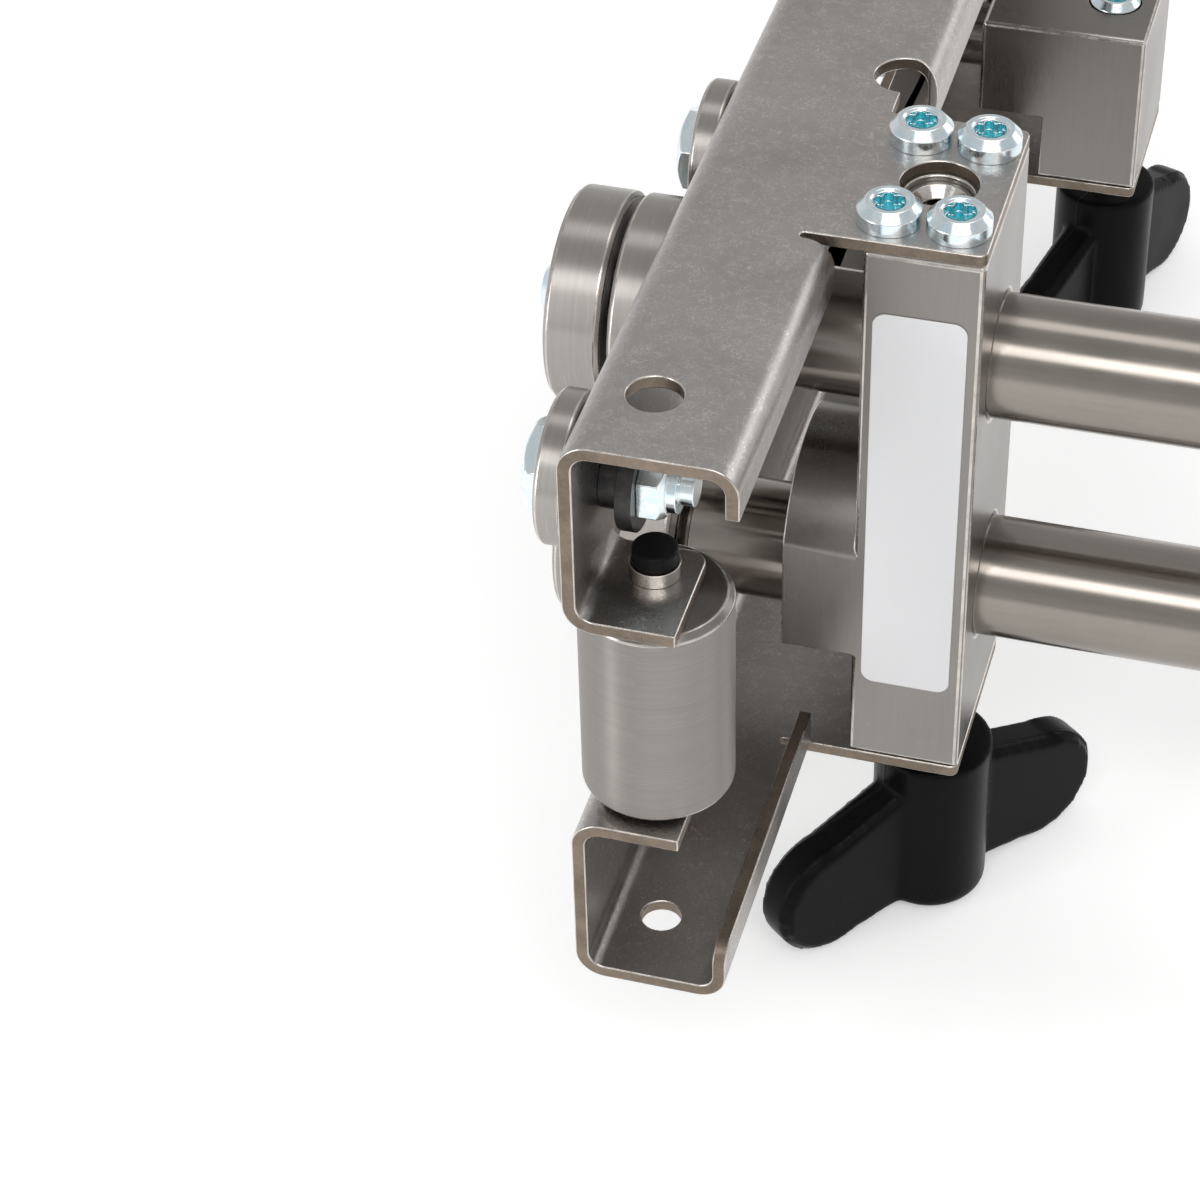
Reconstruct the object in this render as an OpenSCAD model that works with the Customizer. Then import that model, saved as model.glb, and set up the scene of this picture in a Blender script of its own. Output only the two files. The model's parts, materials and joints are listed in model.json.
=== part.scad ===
// Hand-pushed bender for the edges of sheet-metal panels.
// X runs along the tubes, Y along the rails, Z is up.
// The origin is under the middle of the tool, on the surface it stands on.

/* [Rails] */
// Thickness of the bent sheet
sheet_t = 3; // [2:0.5:4]
// Length of both rails
rail_l = 450; // [420:5:600]
// Width of the top rail before its screw tab
top_rail_w = 37; // [35:0.5:39]
// Width of the top rail behind its screw tab
top_far_w = 44.5; // [42:0.5:50]
// Height of the top rail's web
top_rail_h = 47.5; // [44:0.5:52]
// Height of the top rail's lip
top_lip_h = 12; // [9:0.5:16]
// Width of the bottom rail
bottom_rail_w = 34; // [32:0.5:36]
// Height of the bottom rail's web
bottom_rail_h = 46; // [44:0.5:48]
// Height of the bottom rail's lip
bottom_lip_h = 14.5; // [11:0.5:17]
// Outer radius of the bends
bend_r = 6.5; // [5:0.5:8]
// Distance from the blocks' right face to the rails' left face
rail_reach = 68.5; // [67:0.5:72]
// Distance from the rails' near end to the front block
rail_overhang = 82; // [80:1:100]

/* [Blocks] */
// Width of the front block without its boss
block_w = 26; // [25:0.5:30]
// Depth of the front block
block_d = 49; // [46:1:60]
// Height of the front block
block_h = 142; // [138:1:150]
// Width of the round boss
boss_w = 16.5; // [10:0.5:18]
// Width of the rear block
rear_block_w = 46; // [42:0.5:48]
// Depth of the rear block
rear_block_d = 48; // [44:1:52]
// Height of the rear block
rear_block_h = 48.5; // [46:0.5:56]
// Distance from the rails' far end to the rear block's front face
rear_block_inset = 120; // [115:5:160]
// Place of the end block along the tubes, from the front block's right face
end_block_x = 300; // [120:5:320]

/* [Tubes] */
// Outer diameter of the tubes
tube_d = 28; // [24:0.5:29]
// Wall of the tubes
tube_wall = 2.5; // [1.5:0.5:3.5]
// Distance between the two tubes
tube_pitch = 63; // [58:1:64]
// Height of the lower tube over the bottom rail's floor
tube_low_h = 39.5; // [39:0.5:43]
// Length of the tubes to the right of the front block
tube_reach = 362; // [360:5:600]

/* [Discs and rollers] */
// Diameter of the large discs
disc_d = 48.8; // [44:0.1:50]
// Width of one large disc
disc_w = 12.9; // [12:0.1:14]
// Gap between the two large discs
disc_gap = 1.6; // [1:0.1:3]
// Diameter of the guide discs
guide_d = 32.6; // [28:0.1:34]
// Width of the guide discs
guide_w = 6.3; // [5:0.1:8]
// Distance from the near rail end to the first guide disc
guide_first_y = 24; // [20:1:28]
// Distance from the tubes to the guide disc behind the front block
guide_from_tube = 37.5; // [36.5:0.5:41.5]
// Depth of the guide discs' axis under the top
guide_drop = 25; // [22:0.5:27]
// Diameter of the upright rollers
roller_d = 33; // [28:0.5:35]
// Distance from the rail end to an upright roller
roller_end_y = 18.5; // [18:0.5:22]

/* [Wing screws] */
// Diameter of the knob's hub
hub_d = 28.5; // [24:0.5:30]
// Height of the knob's hub
hub_h = 46; // [38:1:50]
// Free length of the screw between a knob and the bottom rail
knob_drop = 11; // [4:1:20]
// Distance between the tips of the wings
wing_span = 98; // [84:1:102]
// Height of a wing's round end
wing_h = 32.5; // [24:0.5:34]
// Height of a wing beside the hub
wing_root_h = 38.5; // [35:0.5:42]
// Thickness of a wing
wing_t = 11; // [8:0.5:14]
// Angle of the front and end knobs' wings to the tubes
wing_angle = 51; // [0:1:180]
// Angle of the rear knob's wings to the tubes
rear_wing_angle = 70; // [0:1:180]

/* [Hidden] */
$fn = 96;

// Clearances, and the overrun of cuts
run_gap = 0.05;
side_gap = 0.3;
face_gap = 0.1;
thread_gap = 0.07;
over = 2;

// Levels
hub_z = 2;
under_z = hub_z + hub_h + knob_drop;
floor_z = under_z + sheet_t;
block_top_z = floor_z + block_h;
top_z = block_top_z + sheet_t;
low_tube_z = floor_z + tube_low_h;
up_tube_z = low_tube_z + tube_pitch;
tube_y = block_d / 2;
guide_z = top_z - guide_drop;

// Places along the rails
rail_y0 = -rail_overhang;
rail_y1 = rail_y0 + rail_l;
rail_mid_y = (rail_y0 + rail_y1) / 2;
block_pitch = rail_y1 - rear_block_inset;
roller_ys = [rail_y0 + roller_end_y, rail_y1 - roller_end_y];
guide_pitch = tube_y + guide_from_tube - rail_y0 - guide_first_y;
guide_ys = [
    rail_y0 + guide_first_y,
    rail_y0 + guide_first_y + guide_pitch,
    rail_y1 - guide_first_y - guide_pitch,
    rail_y1 - guide_first_y
];

// Rails
rail_x0 = -rail_reach;
web_in_x = rail_x0 + sheet_t;
top_right_x = rail_x0 + top_rail_w;
top_far_x = rail_x0 + top_far_w;
bottom_right_x = rail_x0 + bottom_rail_w;
flange_w = 23.7;
flange_l = 27.5;
flange_corner_r = 4;
relief_w = 2;
relief_reach = 0.3;
relief_x = -bend_r - relief_reach;
tab_overlap = 4;
tab_corner_r = 2;
edge_hole_d = 14;
edge_hole_inset = 15.5;
edge_hole_y = block_d + edge_hole_inset;
slot_w = 5;
slot_h = 15;
slot_pitch = 9;
slot_inset = 10;
slot_rise = 23;
slot_first_y = block_d + slot_inset;
slot_z = floor_z + slot_rise;
slot_count = floor((block_pitch - slot_first_y - slot_pitch - slot_inset) / slot_pitch);
top_access_d = 11.6;
top_access_end_y = 20.5;
bottom_access_d = 9;
lip_corner_r = 5;
tab_window_d = 17;

// Torx screws of the tab and the rear block
screw_head_d = 14;
screw_head_h = 5.1;
screw_rim_h = 3.2;
screw_crown_d = 10.5;
screw_shank_d = 6;
screw_l = 16;
torx_d = 7;
torx_lobe_d = 2;
torx_depth = 2.8;
torx_mouth_d = 8.4;
torx_mouth_foot_d = 7.4;
torx_mouth_h = 0.5;
torx_turn = 47;
screw_pitch_x = 15;
screw_pitch_y = 32;
tab_centre_x = -15;
flat_head_d = 10.5;
flat_inset = 6.5;
flat_torx_share = 0.73;

// Front block
chamfer = 0.8;
mouth_chamfer = 1;
boss_r = 26;
boss_top_h = 76;
boss_bottom_h = 29.5;
bush_hole_d = 15;
bush_sink = 1.5;
bush_l = 9;
bush_bore_d = 8.5;
bush_cone_d = 12.5;
bush_cone_h = 2.4;
grub_sink = 7;
grub_socket_d = 4.6;
grub_socket_h = 4;
pad_top_l = 5;

// Rear block
rear_notch_w = 18.4;
rear_notch_h = 20;
rod_d = 18;
rod_inset = 20;
rod_y = block_pitch + rod_inset;
rod_h = 32.5;
rod_z = floor_z + rod_h;
rod_end_x = -6;
rod_stub_d = 12;
rear_sink = 3;
rear_screw_x = -12;
sink_gap_d = 0.8;
rear_roller_w = 12;
rear_roller_d = 32;

// Tubes, axles and discs
plug_l = 30;
plug_rim_l = 1;
axle_d = 17;
axle_shoulder_d = 21;
bearing_d = 35;
bearing_w = 10;
disc_chamfer = 1;
disc_web_gap = 1.8;
washer_t = 2;
tube_end_gap = 0.5;
cap_l = 6;
cap_plug_l = 12;
cap_dome = 2;

// Guide discs
bolt_d = 8;
bolt_af = 18;
bolt_head_h = 4.5;
bolt_turn = 55;
nut_face_share = 0.88;
guide_chamfer = 0.7;
sleeve_d = 14;
sleeve_flange_d = 22;
sleeve_flange_t = 1.5;
spacer_d = 14;
spacer_t = 4.6;
big_washer_d = 22;
big_washer_t = 3.5;
nut_af = 14.5;
nut_h = 5.8;
nut_collar_d = 12;
nut_collar_h = 2.1;
bolt_tail = 3.2;

// Upright rollers
pin_d = 10;
pin_collar_d = 10.8;
pin_collar_h = 3.4;
pin_cap_d = 9.8;
pin_cap_h = 3.9;
pin_cap_chamfer = 0.5;
pin_tail = 4;
clip_d = 15;
clip_t = 1.2;
roller_chamfer = 1.5;
bush_d = 14;
bush_flange_d = 15.6;
bush_flange_t = 1;
bush_length = 14;
roller_inset = 14.5;
roller_x = rail_x0 + roller_inset;

// Wing screws
thread_d = 8;
knob_corner_r = 3;
wing_edge = 1.5;
wing_line_share = 0.97;
foot_cut = 0.5;
thread_socket_l = 26;
pad_d = 10;
pad_l = 6;
pad_travel = 1.25;
front_knob_x = -10;
front_knob_y = tube_y;
rear_knob_x = -11;
rear_knob_inset = 24;
rear_knob_y = block_pitch + rear_knob_inset;

// End block, as wide and deep as the front block
end_mid_x = end_block_x + block_w / 2;
end_wall = 12;
end_block_h = sheet_t + tube_low_h + tube_pitch + tube_d / 2 + end_wall;

// Post at the far end
post_d = 16;
post_x = -49;
post_inset = 50;
post_y = rail_y1 - post_inset;

// Label
label_w = 20.5;
label_h = 104;
label_t = 0.4;
label_corner_r = 3;
label_drop = 15;
label_x = -23.5;

// Places along the tubes
tube_x0 = rail_x0 + tube_end_gap;
inner_disc_x1 = rail_x0 - disc_web_gap;
inner_disc_x0 = inner_disc_x1 - disc_w;
outer_disc_x1 = inner_disc_x0 - disc_gap;
outer_disc_x0 = outer_disc_x1 - disc_w;
bearing_inset = (disc_w - bearing_w) / 2;
axle_x0 = outer_disc_x0 + bearing_inset - side_gap;

// The middle of the box that the tool fills, for the origin
mid_x = (axle_x0 - washer_t - screw_head_h + tube_reach + cap_l) / 2;
mid_y = rail_mid_y;

// Small tools

// Moves the tool from the front block's corner to the origin
module in_place() {
    translate([-mid_x, -mid_y, 0]) children();
}

// Rod along X between two places
module rod_x(d, x0, x1, y, z) {
    translate([x0, y, z]) rotate([0, 90, 0]) cylinder(d = d, h = x1 - x0);
}

// Turned ring along X, with chamfers of size c on both outer edges
module ring_x(d, bore, x0, x1, y, z, c = 0) {
    translate([x0, y, z]) rotate([0, 90, 0]) rotate_extrude() polygon([
        [bore / 2, 0],
        [d / 2 - c, 0],
        [d / 2, c],
        [d / 2, x1 - x0 - c],
        [d / 2 - c, x1 - x0],
        [bore / 2, x1 - x0]
    ]);
}

// Turned ring along Z, with chamfers of size c on both outer edges
module ring_z(d, bore, z0, z1, x, y, c = 0) {
    translate([x, y, z0]) rotate_extrude() polygon([
        [bore / 2, 0],
        [d / 2 - c, 0],
        [d / 2, c],
        [d / 2, z1 - z0 - c],
        [d / 2 - c, z1 - z0],
        [bore / 2, z1 - z0]
    ]);
}

// Rectangle with corners cut by c
module cut_rect(w, h, c) {
    polygon([[c, 0], [w - c, 0], [w, c], [w, h - c], [w - c, h], [c, h], [0, h - c], [0, c]]);
}

// Box with chamfers of size c on all edges
module cut_box(w, d, h, c) {
    intersection() {
        linear_extrude(h) cut_rect(w, d, c);
        translate([0, d, 0]) rotate([90, 0, 0]) linear_extrude(d) cut_rect(w, h, c);
        rotate([90, 0, 90]) linear_extrude(w) cut_rect(d, h, c);
    }
}

// Rectangle with round corners
module round_rect(w, h, r) {
    translate([r, 0]) square([w - 2 * r, h]);
    translate([0, r]) square([w, h - 2 * r]);
    for (x = [r, w - r], y = [r, h - r]) translate([x, y]) circle(r = r);
}

// Quarter bend of the sheet, centred on its own bend centre, from angle a to a + 90
module bend(a) {
    intersection() {
        difference() {
            circle(r = bend_r);
            circle(r = bend_r - sheet_t);
        }
        rotate(a) square(bend_r);
    }
}

// Rail section in X and Z with its web at x = 0, its plate at z = 0 and the web going up
// to web_h. The right lip goes up to lip_h, and the upper flange reaches to flange.
module rail_section(w, web_h, lip_h, flange) {
    translate([bend_r, 0]) square([w - (lip_h > 0 ? 2 : 1) * bend_r, sheet_t]);
    translate([bend_r, bend_r]) bend(180);
    if (lip_h > 0) {
        translate([w - bend_r, bend_r]) bend(270);
        translate([w - sheet_t, bend_r]) square([sheet_t, lip_h - bend_r]);
    }
    if (flange > 0) {
        translate([0, bend_r]) square([sheet_t, web_h - 2 * bend_r]);
        translate([bend_r, web_h - bend_r]) bend(90);
        translate([bend_r, web_h - sheet_t]) square([flange - bend_r, sheet_t]);
    } else {
        translate([0, bend_r]) square([sheet_t, web_h - bend_r]);
    }
}

// Stretch of rail between two places along Y
module rail_run(y0, y1, w, web_h, lip_h, flange) {
    translate([0, y1, 0]) rotate([90, 0, 0]) linear_extrude(y1 - y0)
        rail_section(w, web_h, lip_h, flange);
}

// Whole rail on its own base, with a flange tab at each end. It is w wide up to the middle
// of the front block and far_w wide behind that.
module rail_blank(w, far_w, web_h, lip_h) {
    rail_run(rail_y0, rail_y0 + flange_l, w, web_h, lip_h, flange_w);
    rail_run(rail_y0 + flange_l, tube_y, w, web_h, lip_h, 0);
    rail_run(tube_y, rail_y1 - flange_l, far_w, web_h, lip_h, 0);
    rail_run(rail_y1 - flange_l, rail_y1, far_w, web_h, lip_h, flange_w);
}

// Rounds the inner corner of each flange tab, where z0 is the flange's lower face
module flange_corners(z0) {
    for (s = [0, 1]) {
        translate([flange_w, s == 0 ? rail_y0 + flange_l : rail_y1 - flange_l, z0 - over])
            mirror([0, s, 0]) linear_extrude(sheet_t + 2 * over) difference() {
                translate([-flange_corner_r, -flange_corner_r]) square(flange_corner_r + over);
                translate([-flange_corner_r, -flange_corner_r]) circle(r = flange_corner_r);
            }
    }
}

// Cut that takes away the lip and its bend between two places
module lip_cut(w, lip_h, y0, y1) {
    translate([w + relief_x, y0, -over]) cube([bend_r + 2 * relief_reach, y1 - y0, lip_h + 2 * over]);
}

// Cut for the lip where a tab stands out, with a round relief at both ends
module tab_relief(w, lip_h, y0, d) {
    lip_cut(w, lip_h, y0 - relief_w, y0 + d + relief_w);
    for (y = [y0 - relief_w / 2, y0 + d + relief_w / 2])
        translate([w + relief_x, y, -over]) cylinder(d = relief_w, h = sheet_t + 2 * over);
}

// Tab from inside a rail's plate to x = 0
module tab(right_x, y0, d, z) {
    x0 = right_x + relief_x - tab_overlap;
    translate([x0, y0, z]) linear_extrude(sheet_t) round_rect(-x0, d, tab_corner_r);
}

// Torx recess, cut downwards from z = 0
module torx(d, depth) {
    lobe = torx_lobe_d * d / torx_d;
    translate([0, 0, -depth]) linear_extrude(depth + over) {
        circle(d = d - lobe);
        for (i = [0 : 5]) rotate(torx_turn + i * 60) translate([(d - lobe) / 2, 0]) circle(d = lobe);
    }
}

// Pan-head torx screw, seat of the head at z = 0, shank downwards
module pan_screw(length) {
    difference() {
        union() {
            rotate_extrude() polygon([
                [0, 0],
                [screw_head_d / 2, 0],
                [screw_head_d / 2, screw_rim_h],
                [screw_crown_d / 2, screw_head_h],
                [0, screw_head_h]
            ]);
            translate([0, 0, -length]) cylinder(d = screw_shank_d, h = length + face_gap);
        }
        translate([0, 0, screw_head_h]) torx(torx_d, torx_depth);
        // Countersunk mouth of the recess
        rotate_extrude() polygon([
            [0, screw_head_h - torx_mouth_h],
            [torx_mouth_foot_d / 2, screw_head_h - torx_mouth_h],
            [torx_mouth_d / 2, screw_head_h],
            [torx_mouth_d / 2, screw_head_h + over],
            [0, screw_head_h + over]
        ]);
    }
}

// Countersunk torx screw, face of the head at z = 0, shank upwards
module flat_screw(length) {
    difference() {
        union() {
            cylinder(d1 = flat_head_d, d2 = screw_shank_d, h = sheet_t);
            cylinder(d = screw_shank_d, h = length);
        }
        mirror([0, 0, 1]) torx(torx_d * flat_torx_share, torx_depth);
    }
}

// Hexagon across the flats af
module hexagon(af, h) {
    cylinder(d = af / cos(30), h = h, $fn = 6);
}

// Chamfered hexagon along Z
module nut_body(af, h) {
    intersection() {
        hexagon(af, h);
        cylinder(d1 = af / cos(30) + 2 * h, d2 = af * nut_face_share, h = h);
    }
}

// Block with a chamfered edge that stands at the given corner
module block_body(x, y, z, w, d, h) {
    translate([x, y, z]) cut_box(w, d, h, chamfer);
}

// Cut for a tube through a block, with a chamfered mouth on the right face
module tube_bore(x0, x1, z) {
    rod_x(tube_d + 2 * run_gap, x0 - over, x1 + over, tube_y, z);
    translate([x1 - mouth_chamfer, tube_y, z]) rotate([0, 90, 0])
        cylinder(d1 = tube_d, d2 = tube_d + 4 * mouth_chamfer, h = 2 * mouth_chamfer);
}

// Round hole down through a sheet that lies at height z
module sheet_hole(x, y, z, d) {
    translate([x, y, z - over]) cylinder(d = d, h = sheet_t + 2 * over);
}

// Places of the tab's four screws, at the tab's top
module tab_screw_places() {
    for (x = [-1, 1], y = [-1, 1])
        translate([tab_centre_x + x * screw_pitch_x / 2, tube_y + y * screw_pitch_y / 2, top_z]) children();
}

// Places of the flat screws under both blocks
module flat_screw_places() {
    for (x = [flat_inset - block_w, -flat_inset])
        for (y = [block_d - flat_inset, block_pitch + rear_block_d - flat_inset])
            translate([x, y, under_z]) children();
}

// Undersides of the flanges that hold the roller pins
pin_head_z = top_z - top_rail_h;
pin_seat_z = under_z + bottom_rail_h - sheet_t;

// Rails

module top_rail() color("silver") in_place() difference() {
    union() {
        translate([rail_x0, 0, top_z]) mirror([0, 0, 1]) difference() {
            rail_blank(top_rail_w, top_far_w, top_rail_h, top_lip_h);
            flange_corners(top_rail_h - sheet_t);
            lip_cut(top_rail_w, top_lip_h, -relief_w, tube_y);
            translate([top_rail_w + relief_x, -relief_w / 2, -over])
                cylinder(d = relief_w, h = sheet_t + 2 * over);
            lip_cut(top_far_w, top_lip_h, tube_y - over, edge_hole_y);
        }
        tab(top_right_x, 0, block_d, block_top_z);
    }
    // Window over the bush and the holes of the four screws
    sheet_hole(tab_centre_x, tube_y, block_top_z, tab_window_d);
    tab_screw_places() sheet_hole(0, 0, -sheet_t, screw_shank_d + 2 * face_gap);
    // Access holes near the roller pins and the round cut in the right edge
    for (y = [rail_y0 + top_access_end_y, rail_y1 - top_access_end_y])
        sheet_hole(roller_x, y, block_top_z, top_access_d);
    translate([top_far_x - edge_hole_d / 2, edge_hole_y, top_z - top_lip_h - over])
        cylinder(d = edge_hole_d, h = top_lip_h + 2 * over);
    // Pin holes in the flanges
    for (y = roller_ys) sheet_hole(roller_x, y, top_z - top_rail_h, pin_d + 2 * face_gap);
    // Bolt holes in the web and the way of the upper tube
    for (y = guide_ys) rod_x(bolt_d + 2 * face_gap, rail_x0 - over, web_in_x + over, y, guide_z);
    rod_x(tube_d + 2 * tube_end_gap, rail_x0 - over, web_in_x + over, tube_y, up_tube_z);
    sheet_hole(post_x, post_y, block_top_z, screw_shank_d + 2 * face_gap);
}

module bottom_rail() color("silver") in_place() difference() {
    union() {
        translate([rail_x0, 0, under_z]) difference() {
            rail_blank(bottom_rail_w, bottom_rail_w, bottom_rail_h, bottom_lip_h);
            flange_corners(bottom_rail_h - sheet_t);
            tab_relief(bottom_rail_w, bottom_lip_h, 0, block_d);
            tab_relief(bottom_rail_w, bottom_lip_h, block_pitch, rear_block_d);
            // Round corner at the near end of the lip
            translate([bottom_rail_w + over, rail_y0, bottom_lip_h]) rotate([0, -90, 0])
                linear_extrude(sheet_t + 2 * over) difference() {
                    translate([-lip_corner_r, -over]) square(lip_corner_r + over);
                    translate([-lip_corner_r, lip_corner_r]) circle(r = lip_corner_r);
                }
        }
        tab(bottom_right_x, 0, block_d, under_z);
        tab(bottom_right_x, block_pitch, rear_block_d, under_z);
    }
    // Pin holes in the flanges and access holes in the floor
    for (y = roller_ys) sheet_hole(roller_x, y, pin_seat_z, pin_d + 2 * face_gap);
    for (y = roller_ys) sheet_hole(roller_x, y, under_z, bottom_access_d);
    // Row of slots in the web
    for (i = [0 : slot_count - 1])
        translate([rail_x0 - over, slot_first_y + i * slot_pitch, slot_z])
            cube([sheet_t + 2 * over, slot_w, slot_h]);
    // Ways of the lower tube and the rear rod
    rod_x(tube_d + 2 * tube_end_gap, rail_x0 - over, web_in_x + over, tube_y, low_tube_z);
    rod_x(rod_d + 2 * tube_end_gap, rail_x0 - over, web_in_x + over, rod_y, rod_z);
    // Holes of the wing screws, the flat screws and the post
    sheet_hole(front_knob_x, front_knob_y, under_z, thread_d + 2 * side_gap);
    sheet_hole(rear_knob_x, rear_knob_y, under_z, thread_d + 2 * side_gap);
    flat_screw_places() cylinder(d1 = flat_head_d, d2 = screw_shank_d, h = sheet_t);
    flat_screw_places() translate([0, 0, -over]) cylinder(d = screw_shank_d, h = sheet_t + 2 * over);
    sheet_hole(post_x, post_y, under_z, screw_shank_d + 2 * face_gap);
}

// Blocks

module front_block() color("gray") in_place() difference() {
    union() {
        block_body(-block_w, 0, floor_z, block_w, block_d, block_h);
        // Boss round the lower tube, with an arched top
        translate([-block_w - boss_w, 0, floor_z]) rotate([90, 0, 90])
            linear_extrude(boss_w + chamfer) intersection() {
                translate([0, boss_bottom_h]) square([block_d, block_h]);
                union() {
                    translate([block_d / 2, boss_top_h - boss_r]) circle(r = boss_r);
                    square([block_d, boss_top_h - boss_r]);
                }
            }
    }
    tube_bore(-block_w - boss_w, 0, low_tube_z);
    tube_bore(-block_w, 0, up_tube_z);
    // Hole of the bush and the grub screw
    translate([tab_centre_x, tube_y, block_top_z - bush_sink - bush_l])
        cylinder(d = bush_hole_d, h = bush_sink + bush_l + over);
    translate([tab_centre_x, tube_y, up_tube_z])
        cylinder(d = bush_bore_d + 2 * run_gap, h = block_top_z - up_tube_z);
    // Threaded holes of the tab's screws
    tab_screw_places() translate([0, 0, -screw_l - over]) screw_hole(screw_l + over);
    pad_bore(front_knob_x, front_knob_y);
    flat_screw_places() screw_hole(screw_l + over);
}

// Threaded hole of a small screw
module screw_hole(h) {
    cylinder(d = screw_shank_d + 2 * thread_gap, h = h);
}

// Threaded hole of a wing screw and the bore of its pad
module pad_bore(x, y) {
    translate([x, y, under_z - over]) cylinder(d = thread_d + 2 * thread_gap, h = low_tube_z - under_z);
    translate([x, y, pad_screw_tip_z]) cylinder(d = pad_d + 2 * run_gap, h = low_tube_z - pad_z0);
}

module label_plate() color("white") in_place()
    translate([label_x, 0, block_top_z - label_drop - label_h]) rotate([90, 0, 0])
        linear_extrude(label_t) round_rect(label_w, label_h, label_corner_r);

module rear_block() color("gray") in_place() difference() {
    block_body(-rear_block_w, block_pitch, floor_z, rear_block_w, rear_block_d, rear_block_h);
    translate([-rear_block_w - over, block_pitch - over, floor_z - over])
        cube([rear_notch_w + over, rear_block_d + 2 * over, rear_notch_h + over]);
    rod_x(rod_d + 2 * run_gap, -rear_block_w - over, rod_end_x + side_gap, rod_y, rod_z);
    translate([rear_screw_x, rod_y, rear_seat_z])
        cylinder(d = screw_head_d + sink_gap_d, h = rear_sink + over);
    translate([rear_screw_x, rod_y, rod_z]) screw_hole(rear_block_h);
    translate([rear_knob_x, rear_knob_y, floor_z - over]) cylinder(d = thread_d + 2 * thread_gap, h = rod_h);
    flat_screw_places() screw_hole(screw_l + over);
}

module end_block() color("gray") in_place() difference() {
    block_body(end_block_x, 0, under_z, block_w, block_d, end_block_h);
    tube_bore(end_block_x, end_block_x + block_w, low_tube_z);
    tube_bore(end_block_x, end_block_x + block_w, up_tube_z);
    pad_bore(end_mid_x, tube_y);
}

// Screws, bush and pads of the blocks

module tab_screws() color("lightsteelblue") in_place() tab_screw_places() pan_screw(screw_l);

rear_seat_z = floor_z + rear_block_h - rear_sink;

module rear_clamp_screw() color("lightsteelblue") in_place()
    translate([rear_screw_x, rod_y, rear_seat_z]) pan_screw(rear_seat_z - rod_z - rod_d / 2 - side_gap);

module bottom_tab_screws() color("lightsteelblue") in_place() flat_screw_places() flat_screw(screw_l);

module clamp_bush() color("gainsboro") in_place()
    translate([tab_centre_x, tube_y, block_top_z - bush_sink - bush_l]) rotate_extrude() polygon([
        [bush_bore_d / 2 + thread_gap, 0],
        [bush_hole_d / 2 - run_gap, 0],
        [bush_hole_d / 2 - run_gap, bush_l],
        [bush_cone_d / 2, bush_l],
        [bush_bore_d / 2 + thread_gap, bush_l - bush_cone_h]
    ]);

module clamp_grub_screw() color("dimgray") in_place() difference() {
    top = block_top_z - grub_sink;
    ring_z(bush_bore_d, 0, up_tube_z + tube_d / 2 + pad_top_l, top, tab_centre_x, tube_y, chamfer);
    translate([tab_centre_x, tube_y, top - grub_socket_h]) hexagon(grub_socket_d, grub_socket_h + over);
}

module clamp_top_pad() color("goldenrod") in_place() difference() {
    translate([tab_centre_x, tube_y, up_tube_z]) cylinder(d = bush_bore_d, h = tube_d / 2 + pad_top_l);
    rod_x(tube_d + 2 * run_gap, tab_centre_x - bush_hole_d, tab_centre_x + bush_hole_d, tube_y, up_tube_z);
}

// Heights of the brass pad under the lower tube and of the screw tip under it
pad_z0 = low_tube_z - tube_d / 2 - pad_l;
pad_screw_tip_z = pad_z0 - pad_travel - side_gap;

module pad(x, y) {
    difference() {
        translate([x, y, pad_z0]) cylinder(d = pad_d, h = low_tube_z - pad_z0 - tube_d / 4);
        rod_x(tube_d + 2 * run_gap, x - pad_d, x + pad_d, tube_y, low_tube_z);
    }
}

module front_pad() color("goldenrod") in_place() pad(front_knob_x, front_knob_y);

module end_pad() color("goldenrod") in_place() pad(end_mid_x, tube_y);

// Upright rollers on their pins

module roller_pin(y) {
    top = pin_head_z + sheet_t;
    bottom = pin_seat_z - pin_tail;
    translate([roller_x, y, bottom]) cylinder(d = pin_d, h = top - bottom + pin_collar_h);
    translate([roller_x, y, top]) cylinder(d = pin_collar_d, h = pin_collar_h);
}

module near_roller_pin() color("gainsboro") in_place() roller_pin(roller_ys[0]);

module far_roller_pin() color("gainsboro") in_place() roller_pin(roller_ys[1]);

module pin_caps() color("black") in_place() for (y = roller_ys)
    translate([roller_x, y, pin_head_z + sheet_t + pin_collar_h]) rotate_extrude() polygon([
        [0, 0],
        [pin_cap_d / 2, 0],
        [pin_cap_d / 2, pin_cap_h - pin_cap_chamfer],
        [pin_cap_d / 2 - pin_cap_chamfer, pin_cap_h],
        [0, pin_cap_h]
    ]);

module pin_clips() color("dimgray") in_place() for (y = roller_ys)
    ring_z(clip_d, pin_d, pin_seat_z - clip_t, pin_seat_z, roller_x, y);

roller_z0 = pin_seat_z + sheet_t + bush_flange_t + side_gap;
roller_z1 = pin_head_z - bush_flange_t - side_gap;

module roller(y) ring_z(roller_d, bush_d, roller_z0, roller_z1, roller_x, y, roller_chamfer);

// Flanged bush at each end of a roller
module roller_bushes(y) {
    for (s = [0, 1]) translate([roller_x, y, s == 0 ? roller_z0 : roller_z1]) mirror([0, 0, s]) {
        ring_z(bush_d - 2 * thread_gap, pin_d + 2 * run_gap, 0, bush_length, 0, 0);
        ring_z(bush_flange_d, pin_d + 2 * run_gap, -bush_flange_t, 0, 0, 0);
    }
}

module near_roller() color("silver") in_place() roller(roller_ys[0]);

module far_roller() color("silver") in_place() roller(roller_ys[1]);

module near_roller_bushes() color("darkgoldenrod") in_place() roller_bushes(roller_ys[0]);

module far_roller_bushes() color("darkgoldenrod") in_place() roller_bushes(roller_ys[1]);

// Guide discs on bolts through the top rail's web

guide_x1 = rail_x0 - sleeve_flange_t - side_gap;
guide_x0 = guide_x1 - guide_w;
sleeve_x0 = guide_x0 - side_gap;

module guide_disc(i)
    ring_x(guide_d, sleeve_d + 2 * run_gap, guide_x0, guide_x1, guide_ys[i], guide_z, guide_chamfer);

module guide_disc_1() color("silver") in_place() guide_disc(0);

module guide_disc_2() color("silver") in_place() guide_disc(1);

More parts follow.
